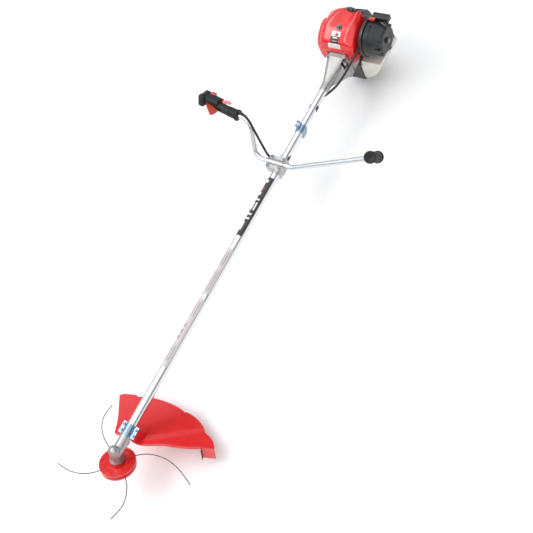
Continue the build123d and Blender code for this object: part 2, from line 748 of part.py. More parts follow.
# two shoes hinged on studs of the flywheel and held in by a spring
stud_y = 19.0
with BuildPart() as clutch_shoes:
    rod(across(-277), 27.0, 12)
    rod(across(-277), 11.0, 12, mode=Mode.SUBTRACT)
    block(across(-277), 5, 60, 12, mode=Mode.SUBTRACT)
    for side in (-1, 1):
        rod(across(-277, stud_y * side), 3.0, 12, mode=Mode.SUBTRACT)
    with BuildSketch(across(-273), mode=Mode.PRIVATE) as groove:
        Circle(27)
        Circle(25.5, mode=Mode.SUBTRACT)
    extrude(groove.sketch, amount=4, mode=Mode.SUBTRACT)
save(clutch_shoes, "clutch_shoes")

# ---------------------------------------------------------------- engine, turning parts
flywheel_x = -301.0
with BuildPart() as flywheel:
    rod(across(flywheel_x), flywheel_r, 8)
    rod(across(flywheel_x), flywheel_r - 6, 3, mode=Mode.SUBTRACT)
    rod(across(-309), 12.0, 20)
    for blade in range(12):
        with Locations(turned(across(-308), 30 * blade)):
            with Locations((31, 0, 0)):
                Box(36, 2.2, 11, align=seat)
    for side in (-1, 1):
        rod(across(flywheel_x + 7, stud_y * side), 3.0, 28)
    rod(across(-310), 7.0, 22, mode=Mode.SUBTRACT)
save(flywheel, "flywheel")

with BuildPart() as crankshaft:
    rod(across(-330), 7.0, 62)
    for web_x in (-337, -354):
        rod(across(web_x), 24.0, 7)
        for side in (-1, 1):
            block(across(web_x, 18 * side, 16), 16, 30, 7, mode=Mode.SUBTRACT)
    rod(across(-354, z=crank_throw), 5.0, 24)
    rod(across(-382), 7.0, 28)
    rod(across(-382), 14.0, 5)
    with BuildSketch(across(-289), mode=Mode.PRIVATE) as nut:
        RegularPolygon(10.0, 6)
    extrude(nut.sketch, amount=6)
save(crankshaft, "crankshaft")

piston_z = 52.0
with BuildPart() as piston:
    rod(level(piston_z, cylinder_x), bore_r - 0.1, 26)
    rod(level(piston_z, cylinder_x), 16.0, 21, mode=Mode.SUBTRACT)
    for ring_z in (66, 70, 74):
        with BuildSketch(level(ring_z, cylinder_x), mode=Mode.PRIVATE) as groove:
            Circle(bore_r)
            Circle(bore_r - 1.2, mode=Mode.SUBTRACT)
        extrude(groove.sketch, amount=1.2, mode=Mode.SUBTRACT)
    rod(across(cylinder_x - 17, z=60), 4.5, 34)
save(piston, "piston")

with BuildPart() as con_rod:
    rod(across(-345, z=60), 8.0, 6)
    block(level(22, -342), 6, 8, 38)
    block(level(21, -342), 6, 17, 6)
    rod(across(-345, z=60), 4.5, 6, mode=Mode.SUBTRACT)
    rod(across(-345), crank_throw + 5.6, 6, mode=Mode.SUBTRACT)
save(con_rod, "con_rod")

# ---------------------------------------------------------------- engine, fixed parts
with BuildPart() as fan_case:
    rounded(across(pad_x, z=flange_z), flange_w, flange_h, 14, flange_x - pad_x)
    rod(across(-312), 56.0, 25)
    rod(across(-312), 53.0, 22, mode=Mode.SUBTRACT)
    rod(across(-291), 36.0, 13, mode=Mode.SUBTRACT)
    block(level(44, -302), 21, 34, 20, mode=Mode.SUBTRACT)
    block(level(42, -287.5), 8, 120, 20, mode=Mode.SUBTRACT)
    for side in (-1, 1):
        for step in (-1, 1):
            hole = across(-291, flange_screw_y * side, flange_z + flange_screw_z * step)
            rod(hole, screw_r, 13, mode=Mode.SUBTRACT)
save(fan_case, "fan_case")

with BuildPart() as crankcase:
    rounded(level(-45, -342), 60, 84, 8, 75)
    rod(across(-360), 27.0, 34, mode=Mode.SUBTRACT)
    rod(across(-327), 9.0, 8, mode=Mode.SUBTRACT)
    rod(across(crank_bearing_x), 16.0, 9, mode=Mode.SUBTRACT)
    rod(across(-364), 9.0, 5, mode=Mode.SUBTRACT)
    rod(across(-373), 16.0, 10, mode=Mode.SUBTRACT)
    rod(level(15, cylinder_x), bore_r, 16, mode=Mode.SUBTRACT)
    rod(leftward(15, cylinder_x, -15), 6.0, 28, mode=Mode.SUBTRACT)
save(crankcase, "crankcase")

fin_count = 8
plug_z = 82.0
with BuildPart() as cylinder:
    rounded(level(30, cylinder_x), 48, 62, 10, 58)
    for fin in range(fin_count):
        rounded(level(30 + fin * 7.8, cylinder_x), 54, 80, 8, 2.8)
    rounded(level(87, cylinder_x - 9), 38, 56, 8, 11)
    rod(level(30, cylinder_x), bore_r, 54, mode=Mode.SUBTRACT)
    rod(upright(0, cylinder_x, 60), 8.0, 45, mode=Mode.SUBTRACT)
    rod(leftward(0, cylinder_x, 46), 7.0, 45, mode=Mode.SUBTRACT)
    rod(across(cylinder_x - 30, z=plug_z), 5.0, 18, mode=Mode.SUBTRACT)
save(cylinder, "cylinder")

with BuildPart() as spark_plug:
    rod(across(-376, z=plug_z), 5.0, 11)
    with BuildSketch(across(-382, z=plug_z), mode=Mode.PRIVATE) as hexagon:
        RegularPolygon(9.0, 6)
    extrude(hexagon.sketch, amount=6)
    rod(across(-396, z=plug_z), 6.0, 14)
    rod(across(-411, z=plug_z), 8.5, 16)
    rod(level(plug_z - 14, -404), 5.0, 14)
save(spark_plug, "spark_plug")

with BuildPart() as ignition_coil:
    block(level(flywheel_r + 0.6, -301.5), 9, 28, 19)
    block(level(58, -312), 12, 12, 10)
    with BuildSketch(level(58, -300), mode=Mode.PRIVATE) as winding:
        RectangleRounded(11, 18, 3)
    extrude(winding.sketch, amount=12)
save(ignition_coil, "ignition_coil")

with BuildPart() as muffler:
    rounded(upright(-52, cylinder_x, 40), 42, 60, 10, 36)
    rounded(upright(-54, cylinder_x, 40), 38, 56, 8, 32, mode=Mode.SUBTRACT)
    rod(upright(-40, cylinder_x, 60), 11.0, 13)
    rod(upright(-40, cylinder_x, 60), 8.0, 20, mode=Mode.SUBTRACT)
    rod(across(-375, -72, 22), 5.5, 10)
    rod(across(-376, -72, 22), 4.5, 14, mode=Mode.SUBTRACT)
save(muffler, "muffler")

with BuildPart() as carburettor:
    rounded(leftward(54, cylinder_x, 46), 36, 32, 4, 24)
    rod(leftward(40, cylinder_x, 46), 12.0, 15)
    block(leftward(64, cylinder_x + 6, 15), 28, 20, 14)
    rod(leftward(39, cylinder_x, 46), 7.0, 40, mode=Mode.SUBTRACT)
    rod(across(-336, 71, 14), 6.5, 8, mode=Mode.SUBTRACT)
    # drum and stop for the throttle cable
    rod(level(64, cylinder_x, 66), 8.0, 7)
    block(across(-329, 72, 51), 8, 8, 6)
save(carburettor, "carburettor")

with BuildPart() as primer_bulb:
    rod(across(-331.5, 71, 14), 6.0, 5)
    with Locations(across(-326.5, 71, 14)):
        Sphere(6.0, arc_size1=0)
save(primer_bulb, "primer_bulb")

# ---------------------------------------------------------------- air cleaner
cleaner_x = -360.0
cleaner_z = 46.0
choke_turn = 21.6          # degrees that the choke knob leans back from upright
with BuildPart() as air_cleaner_base:
    rounded(leftward(78, cleaner_x, cleaner_z), 126, 118, 56, 9)
    rod(leftward(77, cylinder_x, 46), 7.0, 12, mode=Mode.SUBTRACT)
    rod(leftward(86, cleaner_x, cleaner_z), 3.0, 6)
save(air_cleaner_base, "air_cleaner_base")

with BuildPart() as air_filter:
    rod(leftward(93, cleaner_x, cleaner_z), 50.0, 22)
    rod(leftward(93, cleaner_x, cleaner_z), 4.0, 22, mode=Mode.SUBTRACT)
save(air_filter, "air_filter")

choke_plane = turned(leftward(88.5, cleaner_x, cleaner_z), -choke_turn)
with BuildPart() as choke_lever:
    with Locations(choke_plane):
        Cylinder(9.0, 2.5, align=seat)
        with Locations((32, 0, 0)):
            Box(64, 7, 2.5, align=seat)
        with Locations((64, 0, 0)):
            Box(6, 12, 18, align=seat)
    rod(leftward(88, cleaner_x, cleaner_z), 3.3, 6, mode=Mode.SUBTRACT)
save(choke_lever, "choke_lever")

with BuildPart() as air_cleaner_cover:
    taper(leftward(87, cleaner_x, cleaner_z), 59, 57, 17)
    taper(leftward(104, cleaner_x, cleaner_z), 57, 44, 46)
    block(level(84, -403, 117), 22, 60, 20)
    taper(leftward(86, cleaner_x, cleaner_z), 56.6, 54.5, 18, mode=Mode.SUBTRACT)
    taper(leftward(104, cleaner_x, cleaner_z), 54.5, 42.2, 43.5, mode=Mode.SUBTRACT)
    with Locations(choke_plane.offset(-2)):
        with Locations((55, 14, 0)):
            Box(40, 46, 6, align=seat, mode=Mode.SUBTRACT)
    rod(leftward(140, cleaner_x, cleaner_z), screw_r, 20, mode=Mode.SUBTRACT)
save(air_cleaner_cover, "air_cleaner_cover")

# ---------------------------------------------------------------- covers
cover_wall = 2.6
side_outline = ((-283, 2), (-284, 45), (-292, 75), (-344, 110), (-388, 140), (-405, 138), (-430, 118),
                (-436, 54), (-372, 54), (-372, 2))
side_inside = ((-283, -60), (-284, 45), (-292, 75), (-344, 110), (-388, 140), (-405, 138), (-430, 118),
               (-436, 54), (-436, -60))
front_outline = ((62, 2), (60, 85), (48, 128), (20, 138), (-10, 142), (-40, 138), (-66, 112), (-66, 2))
front_inside = ((62, -60), (60, 85), (48, 128), (20, 138), (-10, 142), (-40, 138), (-66, 112), (-66, -60))
crest_slope = atan2(110 - 75, 344 - 292)
crest = Plane(
    origin=(-334, 0, shaft_z + 103.27),
    x_dir=(0, 1, 0),
    z_dir=(sin(crest_slope), 0, cos(crest_slope)),
)

with BuildPart() as cover_hollow:
    prism(upright(80, 0, 0), shrunk(side_inside[::-1], cover_wall), 160)
    prism(across(-450), shrunk(front_inside[::-1], cover_wall), 200, mode=Mode.INTERSECT)

with BuildPart() as top_cover:
    prism(upright(80, 0, 0), side_outline, 160)
    prism(across(-450), front_outline, 200, mode=Mode.INTERSECT)
    add(cover_hollow.part, mode=Mode.SUBTRACT)
    # room for the flange pad, the carburettor and the muffler
    block(across(-290, z=-10), flange_w + 2, 100, 12, mode=Mode.SUBTRACT)
    block(leftward(50, -346, 45), 66, 52, 20, mode=Mode.SUBTRACT)
    block(upright(-58, -346, 45), 92, 92, 14, mode=Mode.SUBTRACT)
    rod(crest.offset(-8), screw_r, 12, mode=Mode.SUBTRACT)
save(top_cover, "top_cover")

with BuildPart() as muffler_cover:
    outline = ((-66, -8), (-90, 0), (-99, 30), (-98, 60), (-86, 95), (-66, 112))
    inside = ((-50, -14), (-90, 0), (-99, 30), (-98, 60), (-86, 95), (-50, 125))
    prism(across(-372), outline, 84)
    prism(across(-369.5), shrunk(inside, 2.5), 79, mode=Mode.SUBTRACT)
    for slot in range(7):
        block(level(12 + 10 * slot, -330, -98), 60, 20, 3, mode=Mode.SUBTRACT)
    rod(across(-376, -72, 22), 6.5, 10, mode=Mode.SUBTRACT)
save(muffler_cover, "muffler_cover")

# the crest screw with its washer, and the thumb screw of the air cleaner
with BuildPart() as cover_screws:
    rod(crest, 9.0, 1.6)
    screw(crest.offset(1.6), 5.5)
    rod(leftward(150, cleaner_x, cleaner_z), 9.0, 5)
    rod(leftward(128, cleaner_x, cleaner_z), screw_r, 22)
save(cover_screws, "cover_screws")

# ---------------------------------------------------------------- recoil starter
rope_z = 22.0
rope_x = -390.0
rope_r = 1.5
with BuildPart() as recoil_housing:
    rod(across(-410), 50.0, 38)
    rod(across(-407), 47.0, 36, mode=Mode.SUBTRACT)
    rod(across(-408), 5.0, 24)
    rod(upright(-30, rope_x, rope_z), 3.0, 30, mode=Mode.SUBTRACT)
    for slot in range(6):
        with Locations(turned(across(-411), 60 * slot)):
            with Locations((30, 0, 0)):
                Box(20, 8, 6, align=seat, mode=Mode.SUBTRACT)
save(recoil_housing, "recoil_housing")

with BuildPart() as recoil_pulley:
    rod(across(-397), 30.0, 13)
    with BuildSketch(across(rope_x - 2.5), mode=Mode.PRIVATE) as groove:
        Circle(31)
        Circle(rope_z - rope_r - 0.4, mode=Mode.SUBTRACT)
    extrude(groove.sketch, amount=5, mode=Mode.SUBTRACT)
    rod(across(-398), 5.0 + running, 16, mode=Mode.SUBTRACT)
save(recoil_pulley, "recoil_pulley")

with BuildPart() as starter_grip:
    rod(level(rope_z - 30, rope_x, -80), 7.5, 60)
    with Locations(level(rope_z - 30, rope_x, -80), level(rope_z + 30, rope_x, -80)):
        Sphere(7.5)
    taper(upright(-53, rope_x, rope_z), 5.0, 7.0, 22)
    rod(upright(38, rope_x, rope_z), rope_r, 100)
save(starter_grip, "starter_grip")

# ---------------------------------------------------------------- oil cap and fuel tank
with BuildPart() as oil_cap:
    rod(leftward(30, cylinder_x, -15), 5.7, 13)
    rod(leftward(42.3, cylinder_x, -15), 10.0, 10)
    block(leftward(52, cylinder_x, -15), 16, 4, 4)
save(oil_cap, "oil_cap")

tank_wall = 2.5
cap_y = 60.0
cap_z = -80.0
tank_outline = ((-70, -53), (50, -53), (55, -28), (125, -28), (125, -45), (92, -92), (60, -112), (-62, -112),
                (-74, -80))
with BuildPart() as fuel_tank:
    prism(across(-436), tank_outline, 120)
    fillet(fuel_tank.edges().filter_by(Axis.X).group_by(Axis.Z)[0], 8)
    prism(across(-436 + tank_wall), shrunk(tank_outline, tank_wall), 120 - 2 * tank_wall, mode=Mode.SUBTRACT)
    rod(across(-450, cap_y, cap_z), 15.0, 15)
    rod(across(-451, cap_y, cap_z), 12.0, 20, mode=Mode.SUBTRACT)
save(fuel_tank, "fuel_tank")

with BuildPart() as tank_cap:
    rod(across(-460, cap_y, cap_z), 21.0, 20)
    rod(across(-456, cap_y, cap_z), 15.3, 16, mode=Mode.SUBTRACT)
    for groove in range(12):
        with Locations(turned(across(-460, cap_y, cap_z), 30 * groove)):
            with Locations((21, 0, 0)):
                Cylinder(1.5, 20, align=seat, mode=Mode.SUBTRACT)
save(tank_cap, "tank_cap")

with BuildPart() as tank_foot:
    block(level(-120, -366), 108, 96, 8)
    block(across(-316, 8, -82.5), 76, 75, 4)
    block(level(-52.5, -342), 60, 76, 7.5)
save(tank_foot, "tank_foot")

# ---------------------------------------------------------------- screws and the throttle cable
with BuildPart() as bolts:
    for side in (-1, 1):
        for step in (-1, 1):
            screw(level(bar_z + 5, handle_x + handle_step * step, 22 * side), 32)
            screw(level(4, guard_x + 9 * step, clamp_bolt_y * side), 18)
            screw(across(flange_x + 7, flange_screw_y * side, flange_z + flange_screw_z * step), 18)
    for step in (-1, 1):
        screw(upright(-7, 7 * step, -upper_r - 8), 14)
        screw(upright(-8, handle_x + 12 * step, -24), 16)
    screw(upright(-7, neck_x + 16, -20.5), 14)
    rod(upright(-19, gear_x - 8, 6), 4.5, 3.0)
    rod(upright(-11, gear_x - 8, 6), 3.0, 8)
save(bolts, "bolts")

# the throttle cable leaves the grip, passes behind the handlebar clamp and below the tube, and
# swings free past the clutch housing to the carburettor
cable_stations = ((136, -37, 30), (126, -35, -8), (113, cable_y, cable_z), (-124, cable_y, cable_z),
                  (-160, 0, -27), (-190, 30, -9.5), (-228, 42, 2), (-252, 58, 26), (-280, 67, 40),
                  (-304, 72, 51), (-323, 72, 51))
with BuildPart() as throttle_cable:
    start = throttle(1, 13.4, 0).origin
    route = [start, start - throttle_dir * 17, on_bar(-95, 135, 6), on_bar(-78.5, 112, 7), on_bar(-52, 54, 0)]
    route += [Vector(x, y, shaft_z + z) for x, y, z in cable_stations]
    cord_solid(route, cable_r, "throttle cable")
save(throttle_cable, "throttle_cable")
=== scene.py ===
import json
import math

import bmesh
import bpy
from mathutils import Matrix, Vector
from mathutils.bvhtree import BVHTree


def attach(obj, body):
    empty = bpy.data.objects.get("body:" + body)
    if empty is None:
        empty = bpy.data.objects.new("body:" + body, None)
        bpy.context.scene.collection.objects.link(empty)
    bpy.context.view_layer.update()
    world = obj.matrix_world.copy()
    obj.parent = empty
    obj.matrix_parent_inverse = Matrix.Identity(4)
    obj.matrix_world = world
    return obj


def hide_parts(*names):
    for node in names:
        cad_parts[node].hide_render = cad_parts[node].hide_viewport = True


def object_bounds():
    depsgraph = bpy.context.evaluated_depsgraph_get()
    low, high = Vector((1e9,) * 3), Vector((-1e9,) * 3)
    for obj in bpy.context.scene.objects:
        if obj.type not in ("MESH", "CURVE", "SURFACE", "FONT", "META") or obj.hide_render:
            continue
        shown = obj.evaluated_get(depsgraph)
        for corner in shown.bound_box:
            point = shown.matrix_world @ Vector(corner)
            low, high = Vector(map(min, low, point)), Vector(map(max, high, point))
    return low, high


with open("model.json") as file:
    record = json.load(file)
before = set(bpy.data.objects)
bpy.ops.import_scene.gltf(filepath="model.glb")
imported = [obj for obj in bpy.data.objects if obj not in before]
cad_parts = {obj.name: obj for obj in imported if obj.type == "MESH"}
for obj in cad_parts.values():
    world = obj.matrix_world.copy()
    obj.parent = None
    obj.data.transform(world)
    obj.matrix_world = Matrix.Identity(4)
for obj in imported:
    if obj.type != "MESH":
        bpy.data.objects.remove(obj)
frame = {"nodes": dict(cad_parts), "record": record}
cad_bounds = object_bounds()
nodes = frame["nodes"]

SHAFT_Z = -0.031          # height of the shaft's axis
LABEL_LIFT = 0.0003       # a label stands this far off the surface it is on
PRINT_LIFT = 0.0007       # print on a label
LOUVRE_LIFT = 0.0006      # a louvre, which is LOUVRE_THICK deep
LOUVRE_THICK = 0.0012


# ------------------------------------------------------------------ camera
def add_camera():
    data = bpy.data.cameras.new("camera")
    data.lens = 50.0
    data.sensor_width = 36.0
    data.clip_end = 20.0
    camera = bpy.data.objects.new("camera", data)
    bpy.context.scene.collection.objects.link(camera)
    right = Vector((-0.473, 0.806, -0.356)).normalized()
    back = Vector((0.228, 0.502, 0.834))
    back = (back - right * back.dot(right)).normalized()
    up = back.cross(right)
    turn = Matrix((right, up, back)).transposed().to_4x4()
    camera.matrix_world = Matrix.Translation((0.9725, 1.2476, 1.8146)) @ turn
    bpy.context.scene.camera = camera


add_camera()


def new_object(name, mesh, body="tool"):
    item = bpy.data.objects.new(name, mesh)
    bpy.context.scene.collection.objects.link(item)
    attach(item, body)
    return item


# ------------------------------------------------------------------ materials
def material(name, color, rough=0.5, metal=0.0, coat=0.0, bump=0.0, scale=400.0, vary=0.08, rough_vary=0.1,
             stretch=(1, 1, 1), subsurface=0.0, wear=0.0, wear_color=(0.5, 0.5, 0.5), detail=4.0,
             speck=0.0):
    """A procedural surface: colour and gloss vary over it, with a fine bump and worn edges."""
    m = bpy.data.materials.new(name)
    m.use_nodes = True
    tree = m.node_tree
    add, link = tree.nodes.new, tree.links.new
    shader = tree.nodes["Principled BSDF"]
    shader.inputs["Metallic"].default_value = metal
    shader.inputs["Coat Weight"].default_value = coat
    shader.inputs["Coat Roughness"].default_value = 0.06
    shader.inputs["Subsurface Weight"].default_value = subsurface
    shader.inputs["Subsurface Scale"].default_value = 0.004
    coords = add("ShaderNodeTexCoord")
    mapping = add("ShaderNodeMapping")
    mapping.inputs["Scale"].default_value = stretch
    link(coords.outputs["Object"], mapping.inputs["Vector"])
    broad = add("ShaderNodeTexNoise")
    broad.inputs["Scale"].default_value = scale * 0.06
    broad.inputs["Detail"].default_value = detail
    link(mapping.outputs["Vector"], broad.inputs["Vector"])
    fine = add("ShaderNodeTexNoise")
    fine.inputs["Scale"].default_value = scale
    fine.inputs["Detail"].default_value = detail
    link(mapping.outputs["Vector"], fine.inputs["Vector"])
    tint = add("ShaderNodeValToRGB")
    tint.color_ramp.elements[0].position = 0.3
    tint.color_ramp.elements[1].position = 0.7
    tint.color_ramp.elements[0].color = [c * (1 - vary) for c in color] + [1]
    tint.color_ramp.elements[1].color = [min(1, c * (1 + vary)) for c in color] + [1]
    link(broad.outputs["Fac"], tint.inputs["Fac"])
    out_color = tint.outputs["Color"]
    if wear:
        geometry = add("ShaderNodeNewGeometry")
        edge = add("ShaderNodeMapRange")
        edge.inputs["From Min"].default_value = 0.54
        edge.inputs["From Max"].default_value = 0.62
        edge.inputs["To Max"].default_value = wear
        link(geometry.outputs["Pointiness"], edge.inputs["Value"])
        broken = add("ShaderNodeMath")
        broken.operation = "MULTIPLY"
        link(edge.outputs["Result"], broken.inputs[0])
        link(fine.outputs["Fac"], broken.inputs[1])
        blend = add("ShaderNodeMix")
        blend.data_type = "RGBA"
        link(broken.outputs[0], blend.inputs["Factor"])
        link(out_color, blend.inputs[6])
        blend.inputs[7].default_value = list(wear_color) + [1]
        out_color = blend.outputs[2]
    if speck:
        dots = add("ShaderNodeTexVoronoi")
        dots.inputs["Scale"].default_value = scale * 1.5
        link(mapping.outputs["Vector"], dots.inputs["Vector"])
        near = add("ShaderNodeMapRange")
        near.inputs["From Max"].default_value = 0.25
        near.inputs["To Min"].default_value = speck
        near.inputs["To Max"].default_value = 0.0
        link(dots.outputs["Distance"], near.inputs["Value"])
        blend = add("ShaderNodeMix")
        blend.data_type = "RGBA"
        link(near.outputs["Result"], blend.inputs["Factor"])
        link(out_color, blend.inputs[6])
        blend.inputs[7].default_value = (0.9, 0.9, 0.9, 1)
        out_color = blend.outputs[2]
    link(out_color, shader.inputs["Base Color"])
    gloss = add("ShaderNodeMapRange")
    gloss.inputs["To Min"].default_value = max(0.02, rough - rough_vary)
    gloss.inputs["To Max"].default_value = min(1.0, rough + rough_vary)
    link(broad.outputs["Fac"], gloss.inputs["Value"])
    link(gloss.outputs["Result"], shader.inputs["Roughness"])
    if bump:
        relief = add("ShaderNodeBump")
        relief.inputs["Strength"].default_value = bump
        relief.inputs["Distance"].default_value = 0.0004
        link(fine.outputs["Fac"], relief.inputs["Height"])
        link(relief.outputs["Normal"], shader.inputs["Normal"])
    return m


RED = (0.72, 0.012, 0.014)
MATS = {
    "tube": material("satin_tube", (0.74, 0.76, 0.79), 0.22, 1.0, bump=0.05, scale=900, vary=0.05,
                     rough_vary=0.06, stretch=(0.02, 1, 1)),
    "steel": material("ground_steel", (0.55, 0.56, 0.58), 0.3, 1.0, bump=0.08, scale=1200),
    "dark_steel": material("dark_steel", (0.10, 0.10, 0.105), 0.4, 0.9, bump=0.15, scale=900, wear=0.5),
    "zinc": material("zinc_plate", (0.27, 0.38, 0.50), 0.26, 1.0, bump=0.1, scale=700, vary=0.15),
    "cast": material("cast_aluminium", (0.42, 0.41, 0.40), 0.36, 0.9, bump=0.35, scale=1400, vary=0.06,
                     wear=0.4, wear_color=(0.8, 0.8, 0.8)),
    "bronze": material("sintered_bronze", (0.55, 0.36, 0.18), 0.45, 1.0, bump=0.2),
    "red": material("red_moulding", RED, 0.2, 0.0, coat=0.55, bump=0.04, scale=900, vary=0.05,
                    rough_vary=0.05, wear=0.2, wear_color=(0.85, 0.12, 0.1)),
    "orange": material("orange_moulding", (0.50, 0.055, 0.02), 0.35, 0.0, coat=0.2, bump=0.1, vary=0.08),
    "black": material("black_moulding", (0.010, 0.011, 0.013), 0.4, 0.0, coat=0.12, bump=0.3, scale=1600,
                      vary=0.3, wear=0.35, wear_color=(0.07, 0.07, 0.075)),
    "grip": material("grip_rubber", (0.009, 0.009, 0.010), 0.6, 0.0, bump=0.4, scale=1800, vary=0.25),
    "cable": material("cable_sheath", (0.01, 0.01, 0.011), 0.42, 0.0, bump=0.15, scale=900),
    "line": material("nylon_line", (0.13, 0.13, 0.14), 0.3, 0.0, coat=0.2, bump=0.1, vary=0.3, speck=0.3),
    "tank_white": material("milky_tank", (0.74, 0.70, 0.63), 0.4, 0.0, coat=0.1, bump=0.12, scale=600,
                           subsurface=0.4),
    "clear_bulb": material("primer_bulb", (0.78, 0.78, 0.72), 0.25, 0.0, subsurface=0.5),
    "foam": material("filter_foam", (0.10, 0.10, 0.095), 0.95, 0.0, bump=1.0, scale=700, speck=0.1),
}

for sub in frame["record"]["subparts"]:
    part = nodes[sub["node"]]
    part.data.materials.clear()
    part.data.materials.append(MATS[sub["material_slot"]])

screws = nodes["cover_screws"].data.materials
for index in range(len(screws)):
    screws[index] = MATS["dark_steel"]


def paint_twist_highlights_and_shade(mat):
    """Light and dark dashes, as a twisted line shows: painted highlights and painted shade on a round cord, in place
    of twisted ridges.
    """
    tree = mat.node_tree
    shader = tree.nodes["Principled BSDF"]
    coords = tree.nodes.new("ShaderNodeTexCoord")
    wave = tree.nodes.new("ShaderNodeTexWave")
    wave.bands_direction = "DIAGONAL"
    wave.inputs["Scale"].default_value = 38
    wave.inputs["Distortion"].default_value = 1.5
    ramp = tree.nodes.new("ShaderNodeValToRGB")
    ramp.color_ramp.elements[0].color = (0.015, 0.016, 0.018, 1)
    ramp.color_ramp.elements[1].color = (0.17, 0.17, 0.18, 1)
    tree.links.new(coords.outputs["Object"], wave.inputs["Vector"])
    tree.links.new(wave.outputs["Fac"], ramp.inputs["Fac"])
    tree.links.new(ramp.outputs["Color"], shader.inputs["Base Color"])


# the line's colour is painted highlight and shade dashes along a round cord
paint_twist_highlights_and_shade(MATS["line"])

# ------------------------------------------------------------------ trimmer lines
GEAR = Vector((1.153, 0.0, SHAFT_Z))
TILT = math.radians(30)
HEAD_UP = Vector((-math.sin(TILT), 0, math.cos(TILT)))
HEAD_FORWARD = Vector((math.cos(TILT), 0, math.sin(TILT)))
LINE_ROUTES = (
    (0.2013, ((50, -115.0), (66, -113.5), (86, -112.6), (112, -112.8), (140, -114.4), (168, -117.4),
              (194, -121.0), (216, -125.2), (235, -130.2))),
    (0.1484, ((50, -29.5), (64, -30.2), (82, -32.4), (104, -37.0), (128, -43.2), (154, -50.4), (181, -58.0))),
    (0.1510, ((50, 66.4), (66, 65.0), (86, 62.0), (110, 57.8), (136, 52.8), (160, 46.6), (183, 38.6))),
    (0.2217, ((50, 155.6), (66, 151.6), (86, 146.2), (112, 138.4), (142, 129.2), (172, 120.2),
              (202, 112.0), (233, 105.2))),
)


def add_line(number, route):
    reach = route[-1][0] - 50
    points = []
    for radius, angle in route:
        turn = math.radians(angle)
        fall = 3.0 * ((radius - 50) / reach) ** 2
        flat = HEAD_FORWARD * (radius * math.cos(turn)) + Vector((0, radius * math.sin(turn), 0))
        points.append(GEAR + (flat + HEAD_UP * (-40.0 - fall)) * 0.001)
    curve = bpy.data.curves.new(f"trimmer_line_{number}_cord", "CURVE")
    curve.dimensions = "3D"
    curve.bevel_depth = 0.0015
    curve.bevel_resolution = 4
    curve.use_fill_caps = True
    spline = curve.splines.new("NURBS")
    spline.points.add(len(points) - 1)
    for place, point in zip(spline.points, points):
        place.co = (*point, 1.0)
    spline.order_u = 3
    spline.use_endpoint_u = True
    spline.resolution_u = 12
    item = bpy.data.objects.new(f"trimmer_line_{number}_cord", curve)
    bpy.context.scene.collection.objects.link(item)
    curve.materials.append(MATS["line"])
    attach(item, "cutter")
    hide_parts(f"trimmer_line_{number}")


for number, (length, route) in enumerate(LINE_ROUTES, start=1):
    add_line(number, route)


# ------------------------------------------------------------------ building blocks
def at(x, y, z):
    """A point in metres from millimetres, z counted from the shaft axis."""
    return Vector((x, y, z)) * 0.001 + Vector((0, 0, SHAFT_Z))


def finish_mesh(name, bm, body, slot, mat=None, levels=0, solid=0.0, smooth=True, bevel=0.0):
    bmesh.ops.recalc_face_normals(bm, faces=bm.faces)
    mesh = bpy.data.meshes.new(name)
    bm.to_mesh(mesh)
    bm.free()
    for polygon in mesh.polygons:
        polygon.use_smooth = smooth
    mesh.materials.append(mat or MATS[slot])
    item = new_object(name, mesh, body)
    if solid:
        shell = item.modifiers.new("wall", "SOLIDIFY")
        shell.thickness = solid
        shell.offset = -1
    if bevel:
        edge = item.modifiers.new("edges", "BEVEL")
        edge.width = bevel
        edge.segments = 3
    if levels:
        sub = item.modifiers.new("smooth", "SUBSURF")
        sub.levels = levels
        sub.render_levels = levels
    return item


def loft_rings(rings, cap_start=False, cap_end=False, closed=True):
    """A mesh through rings of equal length."""
    bm = bmesh.new()
    rows = [[bm.verts.new(p) for p in ring] for ring in rings]
    count = len(rows[0])
    for one, two in zip(rows, rows[1:]):
        for i in range(count if closed else count - 1):
            j = (i + 1) % count
            bm.faces.new((one[i], one[j], two[j], two[i]))
    if cap_start:
        bm.faces.new(rows[0][::-1])
    if cap_end:
        bm.faces.new(rows[-1])
    return bm


def skin(bm, rows):
    """Faces between neighbouring rows of vertices."""
    for one, two in zip(rows, rows[1:]):
        for corners in zip(one, one[1:], two[1:], two):
            bm.faces.new(corners)


def add_box(bm, centre, size, turn=None):
    """A box from its centre and size in metres, turned by a matrix."""
    made = bmesh.ops.create_cube(bm, size=1.0)["verts"]
    place = Matrix.Translation(centre) @ (turn or Matrix()) @ Matrix.Diagonal((*size, 1))
    bmesh.ops.transform(bm, matrix=place, verts=made)


# ------------------------------------------------------------------ engine hood
CREST = ((-283.6, 45), (-285, 52), (-288, 63), (-291, 71), (-296, 78), (-304, 84), (-318, 94), (-331, 102),
         (-344, 109.5), (-355, 115.5), (-366, 121), (-378, 127), (-388, 131), (-392, 128), (-405, 114), (-420, 101),
         (-430, 92), (-434.5, 84))
HOOD_LEFT, HOOD_RIGHT = 62, -66    # its two sides, in y


def along(table, x):
    """A straight-line reading of a table that runs backwards in x."""
    if x >= table[0][0]:
        return table[0][1]
    for (x0, v0), (x1, v1) in zip(table, table[1:]):
        if x1 <= x <= x0:
            return v0 + (v1 - v0) * (x - x0) / (x1 - x0)
    return table[-1][1]


